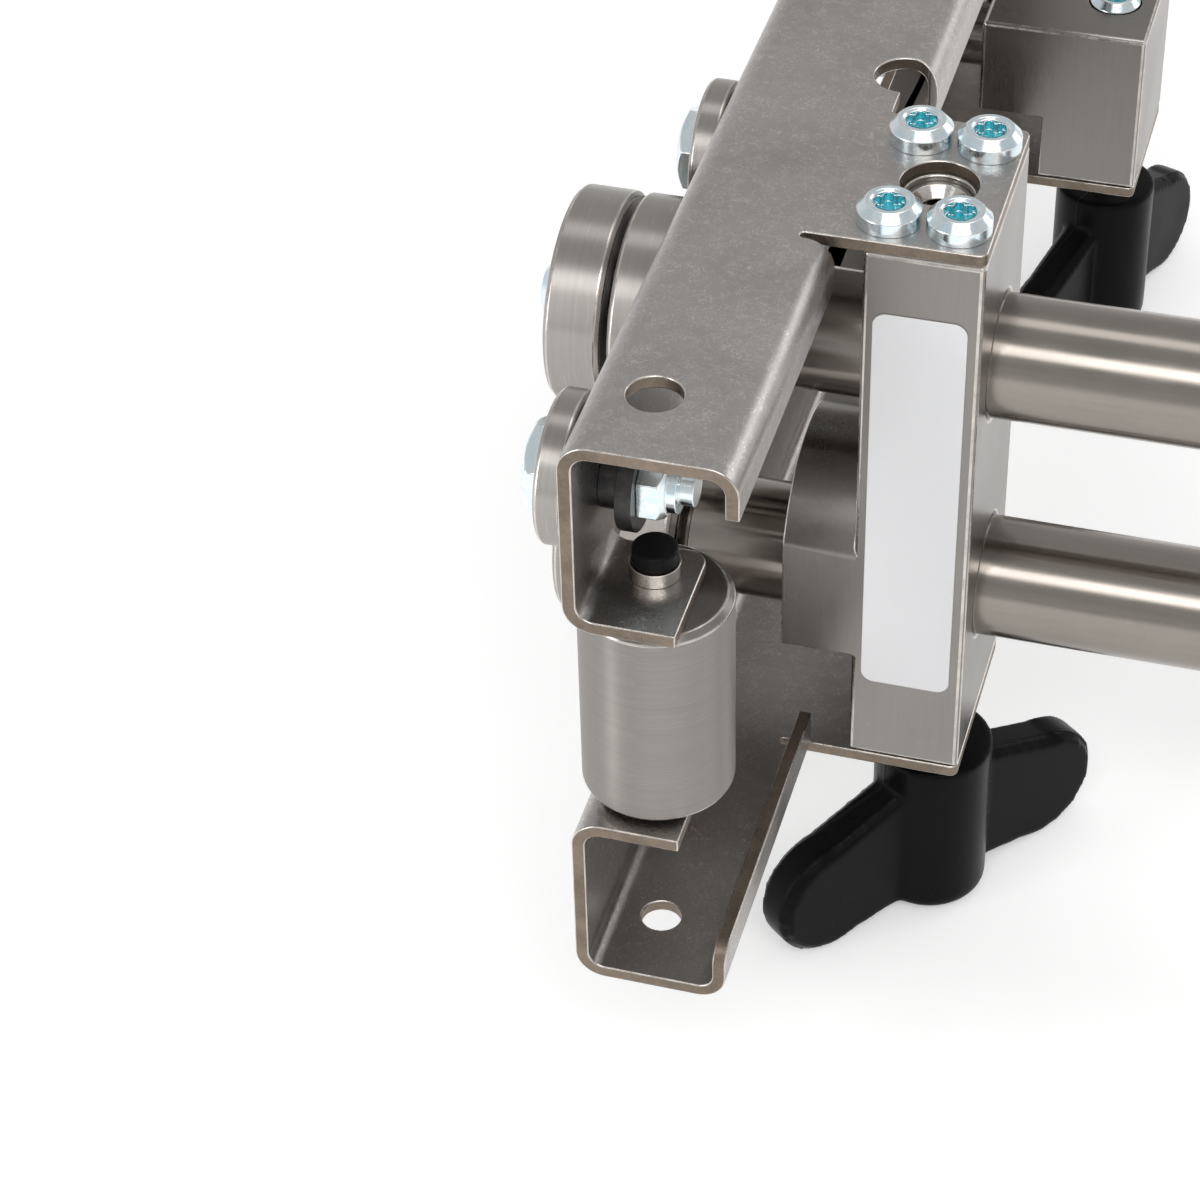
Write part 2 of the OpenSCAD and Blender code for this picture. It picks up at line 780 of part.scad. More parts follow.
module guide_disc_3() color("silver") in_place() guide_disc(2);

module guide_disc_4() color("silver") in_place() guide_disc(3);

module guide_sleeves() color("gainsboro") in_place() for (y = guide_ys) {
    ring_x(sleeve_d, bolt_d + 2 * run_gap, sleeve_x0, rail_x0, y, guide_z);
    ring_x(sleeve_flange_d, bolt_d + 2 * run_gap, rail_x0 - sleeve_flange_t, rail_x0, y, guide_z);
}

spacer_x1 = web_in_x + spacer_t;
washer_x1 = spacer_x1 + big_washer_t;
nut_x1 = washer_x1 + nut_h + nut_collar_h;

module guide_bolts() color("lightsteelblue") in_place() for (y = guide_ys) {
    rod_x(bolt_d, sleeve_x0 - chamfer, nut_x1 + bolt_tail, y, guide_z);
    translate([sleeve_x0, y, guide_z]) rotate([0, -90, 0]) rotate(bolt_turn) nut_body(bolt_af, bolt_head_h);
}

module guide_spacers() color("gray") in_place() for (y = guide_ys)
    ring_x(spacer_d, bolt_d + 2 * run_gap, web_in_x, spacer_x1, y, guide_z);

module guide_washers() color("dimgray") in_place() for (y = guide_ys)
    ring_x(big_washer_d, bolt_d + 2 * run_gap, spacer_x1, washer_x1, y, guide_z);

module guide_nuts() color("lightsteelblue") in_place() for (y = guide_ys)
    translate([washer_x1, y, guide_z]) rotate([0, 90, 0]) difference() {
        union() {
            nut_body(nut_af, nut_h);
            cylinder(d = nut_collar_d, h = nut_h + nut_collar_h);
        }
        translate([0, 0, -over]) cylinder(d = bolt_d + 2 * thread_gap, h = nut_h + nut_collar_h + 2 * over);
    }

// Tubes with an axle for two discs at the left end

module tube(z) ring_x(tube_d, tube_d - 2 * tube_wall, tube_x0, tube_reach, tube_y, z);

module upper_tube() color("silver") in_place() tube(up_tube_z);

module lower_tube() color("silver") in_place() tube(low_tube_z);

module axle(z) {
    difference() {
        union() {
            rod_x(tube_d - 2 * tube_wall - 2 * thread_gap, tube_x0, tube_x0 + plug_l, tube_y, z);
            rod_x(tube_d - tube_wall, tube_x0 - plug_rim_l, tube_x0, tube_y, z);
            rod_x(axle_shoulder_d, inner_disc_x1 - bearing_inset + side_gap, tube_x0, tube_y, z);
            rod_x(axle_d, axle_x0, tube_x0, tube_y, z);
        }
        rod_x(screw_shank_d + 2 * thread_gap, axle_x0 - over, axle_x0 + screw_l, tube_y, z);
    }
}

module upper_axle() color("gray") in_place() axle(up_tube_z);

module lower_axle() color("gray") in_place() axle(low_tube_z);

spacer_inset = bearing_inset - side_gap;

module axle_spacers() color("dimgray") in_place() for (z = [low_tube_z, up_tube_z])
    ring_x(axle_shoulder_d, axle_d, outer_disc_x1 - spacer_inset, inner_disc_x0 + spacer_inset, tube_y, z);

module axle_washers() color("lightsteelblue") in_place() for (z = [low_tube_z, up_tube_z])
    ring_x(axle_shoulder_d, screw_shank_d + 2 * face_gap, axle_x0 - washer_t, axle_x0, tube_y, z);

module axle_screws() color("lightsteelblue") in_place() for (z = [low_tube_z, up_tube_z])
    translate([axle_x0 - washer_t, tube_y, z]) rotate([0, -90, 0]) pan_screw(screw_l);

// Disc with a bearing seat, open on both faces
module disc(x0, z) ring_x(disc_d, bearing_d, x0, x0 + disc_w, tube_y, z, disc_chamfer);

module disc_bearings(z) {
    for (x = [inner_disc_x0, outer_disc_x0])
        ring_x(bearing_d, axle_d + 2 * run_gap, x + bearing_inset, x + bearing_inset + bearing_w, tube_y, z);
}

module upper_outer_disc() color("silver") in_place() disc(outer_disc_x0, up_tube_z);

module upper_inner_disc() color("silver") in_place() disc(inner_disc_x0, up_tube_z);

module upper_disc_bearings() color("gray") in_place() disc_bearings(up_tube_z);

module lower_outer_disc() color("silver") in_place() disc(outer_disc_x0, low_tube_z);

module lower_inner_disc() color("silver") in_place() disc(inner_disc_x0, low_tube_z);

module lower_disc_bearings() color("gray") in_place() disc_bearings(low_tube_z);

// Plastic caps in the right ends of the tubes
module tube_end_caps() color("black") in_place() for (z = [low_tube_z, up_tube_z])
    translate([tube_reach, tube_y, z]) rotate([0, 90, 0]) rotate_extrude() polygon([
        [0, -cap_plug_l],
        [tube_d / 2 - tube_wall - thread_gap, -cap_plug_l],
        [tube_d / 2 - tube_wall - thread_gap, 0],
        [tube_d / 2, 0],
        [tube_d / 2, cap_l - cap_dome],
        [tube_d / 2 - cap_dome, cap_l],
        [0, cap_l]
    ]);

// Rod of the rear block with its roller

rear_roller_x1 = rail_x0 - disc_web_gap;
rear_roller_x0 = rear_roller_x1 - rear_roller_w;

module rear_rod() color("gray") in_place() difference() {
    union() {
        rod_x(rod_d, rear_roller_x1 + side_gap, rod_end_x, rod_y, rod_z);
        rod_x(rod_stub_d, rear_roller_x0 - side_gap, rod_end_x - over, rod_y, rod_z);
    }
    rod_x(screw_shank_d + 2 * thread_gap, rear_roller_x0 - over, rear_roller_x0 + screw_l, rod_y, rod_z);
}

module rear_roller() color("silver") in_place()
    ring_x(rear_roller_d, rod_stub_d + 2 * run_gap, rear_roller_x0, rear_roller_x1, rod_y, rod_z, chamfer);

module rear_rod_screw() color("lightsteelblue") in_place() {
    x1 = rear_roller_x0 - side_gap;
    translate([x1 - washer_t, rod_y, rod_z]) rotate([0, -90, 0]) pan_screw(screw_l);
    ring_x(axle_shoulder_d, screw_shank_d, x1 - washer_t, x1, rod_y, rod_z);
}

// Wing screws

// Moulded knob with a hub and two flat wings, at angle a. It stands on the wings' flat feet.
module knob(a = wing_angle) {
    difference() {
        union() {
            translate([0, 0, hub_z]) rotate_extrude() {
                square([hub_d / 2 - knob_corner_r, hub_h]);
                translate([0, knob_corner_r]) square([hub_d / 2, hub_h - knob_corner_r]);
                translate([hub_d / 2 - knob_corner_r, knob_corner_r]) circle(r = knob_corner_r);
            }
            rotate(a) wings();
        }
        translate([0, 0, hub_z + hub_h - thread_socket_l])
            cylinder(d = thread_d, h = thread_socket_l + over);
    }
}

// Pair of wings with chamfered rims
module wings() {
    translate([0, wing_t / 2, 0]) rotate([90, 0, 0]) {
        wing_slab(wing_edge, 0, wing_t);
        wing_slab(0, wing_edge, wing_t - 2 * wing_edge);
    }
}

// Place where a line from p touches the upper or lower side of a circle of radius r round c
function touch(p, c, r, side) =
    let (run = norm(c - p), a = atan2(c[1] - p[1], c[0] - p[0]) + side * asin(r / run))
    p + sqrt(run * run - r * r) * [cos(a), sin(a)];

// Layer of both wings, with its outline drawn in by c. Each wing has a round end that is
// cut flat at z = 0, and straight edges that run from there to the hub.
module wing_slab(c, z, t) {
    r = wing_h / 2 - c;
    end = [wing_span / 2 - wing_h / 2, wing_h / 2 - foot_cut];
    root = [hub_d / 2, wing_root_h - c];
    foot = [hub_d / 2, hub_z + c];
    translate([0, 0, z]) linear_extrude(t) difference() {
        for (s = [0, 1]) mirror([s, 0]) {
            polygon([
                [0, foot[1]],
                foot,
                touch(foot, end, r * wing_line_share, -1),
                touch(root, end, r * wing_line_share, 1),
                root,
                [0, root[1]]
            ]);
            translate(end) circle(r = r);
        }
        translate([-wing_span / 2, -over]) square([wing_span, over]);
    }
}

// Steel screw of a knob. Its tip ends at height tip over the rest plane.
module knob_screw(x, y, tip)
    ring_z(thread_d, 0, hub_z + hub_h - thread_socket_l, tip, x, y, chamfer);

module front_knob() color("black") in_place() translate([front_knob_x, front_knob_y, 0]) knob();

module front_knob_screw() color("silver") in_place()
    knob_screw(front_knob_x, front_knob_y, pad_screw_tip_z);

module rear_knob() color("black") in_place()
    translate([rear_knob_x, rear_knob_y, 0]) knob(rear_wing_angle);

module rear_knob_screw() color("silver") in_place()
    knob_screw(rear_knob_x, rear_knob_y, rod_z - rod_d / 2 - side_gap);

module end_knob() color("black") in_place() translate([end_mid_x, tube_y, 0]) knob();

module end_knob_screw() color("silver") in_place() knob_screw(end_mid_x, tube_y, pad_screw_tip_z);

// Post between the rails at the far end

module rear_post() color("gray") in_place() difference() {
    ring_z(post_d, 0, floor_z, block_top_z, post_x, post_y, chamfer);
    for (z = [floor_z - over, block_top_z - screw_l])
        translate([post_x, post_y, z]) screw_hole(screw_l + over);
}

module post_screws() color("lightsteelblue") in_place() {
    translate([post_x, post_y, top_z]) pan_screw(screw_l);
    translate([post_x, post_y, under_z]) mirror([0, 0, 1]) pan_screw(screw_l);
}

top_rail();
bottom_rail();
front_block();
label_plate();
tab_screws();
clamp_bush();
clamp_grub_screw();
clamp_top_pad();
bottom_tab_screws();
rear_block();
rear_clamp_screw();
near_roller_pin();
far_roller_pin();
pin_caps();
pin_clips();
near_roller();
far_roller();
near_roller_bushes();
far_roller_bushes();
guide_disc_1();
guide_disc_2();
guide_disc_3();
guide_disc_4();
guide_bolts();
guide_sleeves();
guide_spacers();
guide_washers();
guide_nuts();
upper_tube();
lower_tube();
upper_axle();
lower_axle();
axle_spacers();
axle_washers();
axle_screws();
upper_outer_disc();
upper_inner_disc();
upper_disc_bearings();
lower_outer_disc();
lower_inner_disc();
lower_disc_bearings();
tube_end_caps();
rear_rod();
rear_roller();
rear_rod_screw();
front_knob();
front_knob_screw();
rear_knob();
rear_knob_screw();
front_pad();
end_block();
end_knob();
end_knob_screw();
end_pad();
rear_post();
post_screws();
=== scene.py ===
import json
import math

import bmesh
import bpy
from mathutils import Matrix, Vector
from mathutils.bvhtree import BVHTree

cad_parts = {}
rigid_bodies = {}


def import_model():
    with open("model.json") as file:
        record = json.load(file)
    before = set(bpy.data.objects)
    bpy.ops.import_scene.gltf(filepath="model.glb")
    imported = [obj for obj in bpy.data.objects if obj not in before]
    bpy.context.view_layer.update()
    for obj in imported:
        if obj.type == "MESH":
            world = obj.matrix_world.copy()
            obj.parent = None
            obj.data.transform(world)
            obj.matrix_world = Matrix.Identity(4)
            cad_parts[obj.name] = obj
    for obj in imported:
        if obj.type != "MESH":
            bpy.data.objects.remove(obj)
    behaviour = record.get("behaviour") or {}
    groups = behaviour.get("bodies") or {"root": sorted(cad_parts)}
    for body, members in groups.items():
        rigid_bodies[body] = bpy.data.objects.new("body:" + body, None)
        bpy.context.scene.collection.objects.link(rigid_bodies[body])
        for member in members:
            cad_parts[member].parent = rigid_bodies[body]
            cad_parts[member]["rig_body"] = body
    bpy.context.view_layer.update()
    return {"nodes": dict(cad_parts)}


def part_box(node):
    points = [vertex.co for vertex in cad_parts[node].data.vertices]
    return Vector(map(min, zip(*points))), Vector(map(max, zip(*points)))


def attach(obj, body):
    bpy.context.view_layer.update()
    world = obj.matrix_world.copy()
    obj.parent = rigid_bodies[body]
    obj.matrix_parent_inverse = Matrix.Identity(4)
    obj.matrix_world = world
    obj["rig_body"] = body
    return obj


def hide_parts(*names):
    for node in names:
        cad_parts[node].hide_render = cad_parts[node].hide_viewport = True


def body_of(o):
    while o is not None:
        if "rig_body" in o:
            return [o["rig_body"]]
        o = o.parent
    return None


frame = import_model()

MM = 0.001

# Spans of a noise's middle range, and the faces' finish slots
MIDDLE = (0.3, 0.7)
PAINTED_HIGHLIGHT_SLOT = 1
MARK_SLOT = 2


# Finishes

def new_finish(name, colour, metallic, roughness):
    """A material and its shader, with the plain values set on the shader's own sockets."""
    finish = bpy.data.materials.new(name)
    finish.use_nodes = True
    shader = finish.node_tree.nodes["Principled BSDF"]
    shader.inputs["Base Color"].default_value = (*colour, 1)
    shader.inputs["Metallic"].default_value = metallic
    shader.inputs["Roughness"].default_value = roughness
    return finish, shader


def add(tree, kind, sockets=None, **settings):
    """Adds one shader node. Sockets are given values or the outputs that feed them."""
    node = tree.nodes.new("ShaderNode" + kind)
    for key, value in settings.items():
        setattr(node, key, value)
    for key, value in (sockets or {}).items():
        if isinstance(value, bpy.types.NodeSocket):
            tree.links.new(value, node.inputs[key])
        else:
            node.inputs[key].default_value = value
    return node


def sum_of(tree, kind, a, b=0.0, c=0.0, clamp=False):
    """One Math node's output."""
    return add(tree, "Math", {0: a, 1: b, 2: c}, operation=kind, use_clamp=clamp).outputs[0]


def placed(tree, centre=(0, 0, 0), turn=(0, 0, 0), stretch=(1, 1, 1)):
    """Object coordinates, centred, turned and divided by a stretch."""
    where = add(tree, "TexCoord").outputs["Object"]
    sockets = {"Vector": where, "Location": centre, "Rotation": turn, "Scale": stretch}
    return add(tree, "Mapping", sockets, vector_type="TEXTURE").outputs[0]


def mottle(tree, vector, scale, detail=2.0, distortion=0.0):
    """Noise between 0 and 1."""
    sockets = {"Vector": vector, "Scale": scale, "Detail": detail, "Distortion": distortion}
    return add(tree, "TexNoise", sockets).outputs[0]


def between(tree, value, low, high, to_low=0.0, to_high=1.0, smooth=False):
    """Maps a value from one span to another, held at its ends."""
    kind = "SMOOTHSTEP" if smooth else "LINEAR"
    sockets = {0: value, 1: low, 2: high, 3: to_low, 4: to_high}
    return add(tree, "MapRange", sockets, interpolation_type=kind).outputs[0]


def blend_of(tree, share, first, second):
    """Mixes two colours by a share."""
    sockets = {0: share, 6: first, 7: second}
    return add(tree, "Mix", sockets, data_type="RGBA").outputs[2]


def shade(colour, factor):
    return (*(min(channel * factor, 1) for channel in colour), 1)


def weighed(tree, *parts):
    """The sum of outputs, each given with its share."""
    total = None
    for output, share in parts:
        part = output if share == 1 else sum_of(tree, "MULTIPLY", output, share)
        total = part if total is None else sum_of(tree, "ADD", total, part)
    return total


def feed(shader, socket, output):
    """Links an output to one of the shader's sockets."""
    shader.id_data.links.new(output, shader.inputs[socket])


def roughen(tree, shader, pattern, low, high):
    """Roughness that follows a pattern's middle range."""
    feed(shader, "Roughness", between(tree, pattern, *MIDDLE, low, high))


def bumped(tree, shader, height, strength, depth, under=None):
    """Feeds a height in metres to the shader's normal."""
    sockets = {"Height": height, "Strength": strength, "Distance": depth}
    if under:
        sockets["Normal"] = under
    normal = add(tree, "Bump", sockets).outputs[0]
    feed(shader, "Normal", normal)
    return normal


def swirl_finish(name, colour, roughness=0.35):
    """Tumbled sheet: short curved strokes in two layers over soft clouds."""
    finish, shader = new_finish(name, colour, 1.0, roughness)
    tree = finish.node_tree
    where = placed(tree)
    strokes = None
    for scale, width, reach in ((620.0, 0.034, 240.0), (980.0, 0.045, 380.0)):
        off_middle = sum_of(tree, "SUBTRACT", mottle(tree, where, scale, 0.6, 1.1), 0.5)
        ridge = sum_of(tree, "ABSOLUTE", off_middle)
        line = between(tree, ridge, 0.0, width, 1.0, 0.0, smooth=True)
        patch = between(tree, mottle(tree, where, reach, 1.0), 0.44, 0.56, 0.0, 1.0, smooth=True)
        line = sum_of(tree, "MULTIPLY", line, patch)
        strokes = line if strokes is None else sum_of(tree, "MAXIMUM", strokes, line)
    cloud = mottle(tree, where, 38.0, 3.0, 0.4)
    grain = mottle(tree, where, 2100.0, 2.0)
    tone = weighed(tree, (cloud, 0.55), (grain, 0.45))
    base = blend_of(tree, between(tree, tone, 0.32, 0.68), shade(colour, 0.84), shade(colour, 1.08))
    lit = blend_of(tree, sum_of(tree, "MULTIPLY", strokes, 0.6), base, shade(colour, 1.6))
    feed(shader, "Base Color", lit)
    cloudy = between(tree, cloud, *MIDDLE, roughness - 0.04, roughness + 0.06)
    feed(shader, "Roughness", weighed(tree, (cloudy, 1), (strokes, -0.08)))
    bumped(tree, shader, weighed(tree, (strokes, 1), (grain, 0.5)), 0.28, 0.03 * MM)
    return finish


def cut_edge_finish(name, colour):
    """Laser-cut edge: brownish, with fine streaks and darker patches."""
    finish, shader = new_finish(name, colour, 0.9, 0.42)
    tree = finish.node_tree
    where = placed(tree)
    patch = mottle(tree, where, 90.0, 3.0, 0.6)
    streak = mottle(tree, where, 1500.0, 2.0)
    tone = weighed(tree, (patch, 0.65), (streak, 0.35))
    base = blend_of(tree, between(tree, tone, 0.34, 0.66), shade(colour, 0.72), shade(colour, 1.3))
    feed(shader, "Base Color", base)
    roughen(tree, shader, streak, 0.36, 0.5)
    bumped(tree, shader, streak, 0.3, 0.04 * MM)
    return finish


def highlight_rim_finish(name, colour):
    """Painted highlight on broken edges: a thin bright rim, patchy in tone."""
    finish, shader = new_finish(name, colour, 1.0, 0.25)
    tree = finish.node_tree
    highlight_patches = mottle(tree, placed(tree), 260.0, 3.0)
    base = blend_of(tree, between(tree, highlight_patches, 0.35, 0.65), shade(colour, 0.8), shade(colour, 1.1))
    feed(shader, "Base Color", base)
    roughen(tree, shader, highlight_patches, 0.2, 0.34)
    return finish


def brushed_finish(name, colour, along="z", roughness=0.34):
    """Milled and rubbed faces: fine lines one way, clouds and a few scratches."""
    finish, shader = new_finish(name, colour, 1.0, roughness)
    tree = finish.node_tree
    stretch = tuple(22.0 if axis == along else 1.0 for axis in "xyz")
    lines = mottle(tree, placed(tree, stretch=stretch), 1500.0, 3.0)
    fine = mottle(tree, placed(tree, stretch=stretch), 4200.0, 1.0)
    where = placed(tree)
    cloud = mottle(tree, where, 30.0, 3.0, 0.5)
    scratch_way = placed(tree, turn=(0.5, 0.35, 0.2), stretch=(1, 1, 60))
    scratch = between(tree, mottle(tree, scratch_way, 1500.0, 0.0), 0.76, 0.8, 0.0, 1.0, smooth=True)
    tone = weighed(tree, (lines, 0.35), (cloud, 0.65))
    base = blend_of(tree, between(tree, tone, 0.32, 0.68), shade(colour, 0.92), shade(colour, 1.07))
    lit = blend_of(tree, sum_of(tree, "MULTIPLY", scratch, 0.18), base, shade(colour, 1.4))
    feed(shader, "Base Color", lit)
    roughen(tree, shader, tone, roughness - 0.05, roughness + 0.07)
    bumped(tree, shader, weighed(tree, (lines, 0.7), (fine, 0.3)), 0.1, 0.03 * MM)
    return finish


def lathe_place(tree, centre, axis):
    """Radius, turn round the axis and height along it, from centred coordinates."""
    split = add(tree, "SeparateXYZ", {0: placed(tree, centre)}).outputs
    u, v, along = (split[1], split[2], split[0]) if axis == "x" else (split[0], split[1], split[2])
    squares = sum_of(tree, "ADD", sum_of(tree, "MULTIPLY", u, u), sum_of(tree, "MULTIPLY", v, v))
    return sum_of(tree, "SQRT", squares), sum_of(tree, "ARCTAN2", u, v), along


def pull(tree, shader, centre, axis):
    """Lathe grooves run round the axis, so the glare is drawn out across them."""
    way = (1, 0, 0) if axis == "x" else (0, 0, 1)
    arm = placed(tree, centre)
    round_axis = add(tree, "VectorMath", {0: way, 1: arm}, operation="CROSS_PRODUCT").outputs[0]
    unit = add(tree, "VectorMath", {0: round_axis}, operation="NORMALIZE").outputs[0]
    turned = add(tree, "VectorTransform", {0: unit}, vector_type="VECTOR", convert_from="OBJECT",
                 convert_to="WORLD").outputs[0]
    feed(shader, "Tangent", turned)
    quarter_turn = 0.25
    shader.inputs["Anisotropic"].default_value = 0.9
    shader.inputs["Anisotropic Rotation"].default_value = quarter_turn


def turned_finish(name, colour, centre, axis, roughness=0.38):
    """Lathe-turned steel: rings round the axis, a few long scratches and soft clouds."""
    finish, shader = new_finish(name, colour, 1.0, roughness)
    tree = finish.node_tree
    radius, angle, along = lathe_place(tree, centre, axis)
    pull(tree, shader, centre, axis)
    slow_turn = sum_of(tree, "MULTIPLY", angle, 0.12 * MM)
    ring_way = add(tree, "CombineXYZ", {0: radius, 1: along, 2: slow_turn}).outputs[0]
    ring = mottle(tree, ring_way, 3000.0, 2.0)
    broad = mottle(tree, ring_way, 620.0, 2.0)
    girth = sum_of(tree, "MULTIPLY", angle, 1.5 * MM)
    drift = weighed(tree, (along, 1), (angle, 1.1 * MM))
    scratch_way = add(tree, "CombineXYZ", {0: girth, 1: drift, 2: radius}).outputs[0]
    scratch = between(tree, mottle(tree, scratch_way, 1700.0, 1.0), 0.66, 0.72, 0.0, 1.0, smooth=True)
    cloud = mottle(tree, placed(tree), 60.0, 2.0)
    tone = weighed(tree, (ring, 0.5), (broad, 0.25), (cloud, 0.25))
    base = blend_of(tree, between(tree, tone, 0.34, 0.66), shade(colour, 0.9), shade(colour, 1.1))
    lit = blend_of(tree, sum_of(tree, "MULTIPLY", scratch, 0.3), base, shade(colour, 1.4))
    feed(shader, "Base Color", lit)
    roughen(tree, shader, tone, roughness - 0.05, roughness + 0.07)
    bumped(tree, shader, weighed(tree, (ring, 1), (broad, 0.6)), 0.12, 0.03 * MM)
    return finish


def plated_finish(name, colour, tint, roughness=0.16, metallic=1.0):
    """Bright plating with faint clouds of a second tint and tiny pits."""
    finish, shader = new_finish(name, colour, metallic, roughness)
    tree = finish.node_tree
    where = placed(tree)
    cloud = mottle(tree, where, 320.0, 2.0, 0.8)
    pits = mottle(tree, where, 1900.0, 2.0)
    base = blend_of(tree, between(tree, cloud, 0.38, 0.68), (*colour, 1), (*tint, 1))
    feed(shader, "Base Color", base)
    roughen(tree, shader, pits, roughness - 0.04, roughness + 0.06)
    bumped(tree, shader, pits, 0.12, 0.03 * MM)
    return finish


def moulded_finish(name, colour, roughness, grain=0.3, centre=(0, 0, 0), turn=None):
    """Moulded plastic: fine grain, clouds of gloss and pale scuffs. A turn gives it a parting line."""
    finish, shader = new_finish(name, colour, 0.0, roughness)
    shader.inputs["Specular IOR Level"].default_value = 0.07
    tree = finish.node_tree
    where = placed(tree)
    skin = mottle(tree, where, 1500.0, 2.0)
    cloud = mottle(tree, where, 55.0, 3.0)
    scuff_way = placed(tree, turn=(0.4, 0.7, 0.1), stretch=(1, 18, 1))
    scuff = between(tree, mottle(tree, scuff_way, 700.0, 1.0), 0.7, 0.78, 0.0, 1.0, smooth=True)
    base = blend_of(tree, between(tree, cloud, 0.3, 0.7), shade(colour, 0.85), shade(colour, 1.2))
    lit = blend_of(tree, sum_of(tree, "MULTIPLY", scuff, 0.3), base, shade(colour, 3.0))
    feed(shader, "Base Color", lit)
    roughen(tree, shader, cloud, roughness - 0.05, roughness + 0.08)
    grained = bumped(tree, shader, skin, grain, 0.05 * MM)
    if turn is not None:
        across = add(tree, "SeparateXYZ", {0: placed(tree, centre, (0, 0, turn))}).outputs[1]
        offset = sum_of(tree, "ABSOLUTE", across)
        seam = between(tree, offset, 0.12 * MM, 0.4 * MM, 1.0, 0.0, smooth=True)
        bumped(tree, shader, seam, 0.8, 0.18 * MM, grained)
    return finish


def film_finish(name, colour):
    """Printed film: smooth, with a faintly uneven tint and gloss."""
    finish, shader = new_finish(name, colour, 0.0, 0.3)
    tree = finish.node_tree
    where = placed(tree)
    cloud = mottle(tree, where, 45.0, 2.0)
    peel = mottle(tree, where, 900.0, 1.0)
    feed(shader, "Base Color", blend_of(tree, cloud, shade(colour, 0.985), shade(colour, 1.01)))
    roughen(tree, shader, cloud, 0.34, 0.38)
    bumped(tree, shader, peel, 0.06, 0.03 * MM)
    return finish


rail_steel = swirl_finish("tumbled_sheet", (0.43, 0.406, 0.385))
cut_edge = cut_edge_finish("laser_cut_edge", (0.205, 0.165, 0.13))
# Painted highlight for the broken edges of sheet, blocks, pins, tubes and turned parts
painted_highlight_rim = highlight_rim_finish("rim_painted_highlight", (0.6, 0.56, 0.52))
block_steel = brushed_finish("milled_block", (0.262, 0.247, 0.23), "z", 0.3)
tube_steel = brushed_finish("drawn_tube", (0.29, 0.262, 0.236), "x", 0.2)
pin_steel = plated_finish("ground_pin", (0.66, 0.63, 0.6), (0.55, 0.52, 0.49), 0.17)
zinc = plated_finish("blue_zinc", (0.7, 0.84, 0.92), (0.84, 0.88, 0.88), 0.18)
# Painted shade and a teal painted reflection in the screws' drive recesses
zinc_recess_painted_shade = plated_finish("zinc_recess_painted_shade", (0.1, 0.5, 0.58), (0.2, 0.66, 0.74), 0.3, 0.7)
# Painted highlight for the broken edges of screws, nuts, bolts and washers
zinc_painted_highlight_rim = highlight_rim_finish("zinc_painted_highlight_rim", (0.88, 0.92, 0.94))
dark_steel = plated_finish("blackened_steel", (0.05, 0.05, 0.052), (0.075, 0.07, 0.065), 0.34)
brass = plated_finish("brass_pad", (0.62, 0.44, 0.18), (0.5, 0.34, 0.13), 0.3)
bronze = plated_finish("bronze_bush", (0.45, 0.28, 0.14), (0.36, 0.22, 0.11), 0.34)
cap_plastic = moulded_finish("black_cap_plastic", (0.01, 0.01, 0.01), 0.28, 0.12)
bearing_steel = plated_finish("ground_race", (0.6, 0.58, 0.56), (0.5, 0.48, 0.46), 0.16)
shield_steel = plated_finish("bearing_shield", (0.3, 0.29, 0.28), (0.24, 0.23, 0.22), 0.3)
label_film = film_finish("white_film", (0.88, 0.885, 0.9))
# Turned steel round x (rear roller and discs) is painted lighter than round z (near and far rollers):
# painted light and shade
TURNED_LIT_AND_SHADED_COLOURS = {"x": (0.4, 0.378, 0.355), "z": (0.3, 0.28, 0.26)}
KNOB_BLACK = (0.004, 0.004, 0.0043)


# Shapes

SHARP_ANGLE = 32
FLAT_ANGLE = 0.4
MERGE_GAP = 0.001 * MM


def copy_of(node):
    """A merged copy of a solid's mesh."""
    shape = bmesh.new()
    shape.from_mesh(frame["nodes"][node].data)
    bmesh.ops.remove_doubles(shape, verts=shape.verts, dist=MERGE_GAP)
    return shape


def piece_from(shape, name, node, finishes, *others):
    """Makes the object, which stands for its solid and rides on the solid's body."""
    solid = frame["nodes"][node]
    mesh = bpy.data.meshes.new(name)
    shape.to_mesh(mesh)
    shape.free()
    piece = bpy.data.objects.new(name, mesh)
    bpy.context.scene.collection.objects.link(piece)
    for finish in finishes:
        mesh.materials.append(finish)
    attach(piece, body_of(solid)[0])
    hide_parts(node, *others)
    return piece


def broken_edges(piece, width, rim, segments):
    """Breaks the sharp edges, which take the rim slot's painted highlight where the piece has one, and evens
    the shading of what is left flat.
    """
    edge = piece.modifiers.new("broken edges", "BEVEL")
    edge.width = width
    edge.segments = segments
    edge.limit_method = "ANGLE"
    edge.angle_limit = math.radians(SHARP_ANGLE)
    edge.use_clamp_overlap = False
    edge.material = rim
    edge.miter_outer = "MITER_ARC"
    piece.modifiers.new("even shading", "WEIGHTED_NORMAL").keep_sharp = True


def soften(shape, angle=SHARP_ANGLE):
    """Smooth faces, with the sharp edges kept."""
    limit = math.radians(angle)
    for face in shape.faces:
        face.smooth = True
    for edge in shape.edges:
        edge.smooth = len(edge.link_faces) == 2 and edge.calc_face_angle(0) < limit


def flatten(shape):
    """Joins the flat triangles of one finish."""
    bmesh.ops.dissolve_limit(shape, angle_limit=math.radians(FLAT_ANGLE), use_dissolve_boundaries=False,
                             verts=shape.verts, edges=shape.edges, delimit={"MATERIAL"})


def dressed(node, finishes, edge, marks=None, segments=2):
    """A solid's copy with its edges broken by so many millimetres. marks(shape) sets the faces' finishes."""
    shape = copy_of(node)
    if marks:
        marks(shape)
    flatten(shape)
    soften(shape)
    piece = piece_from(shape, node + ".finished", node, finishes)
    broken_edges(piece, edge * MM, PAINTED_HIGHLIGHT_SLOT if len(finishes) > PAINTED_HIGHLIGHT_SLOT else -1, segments)


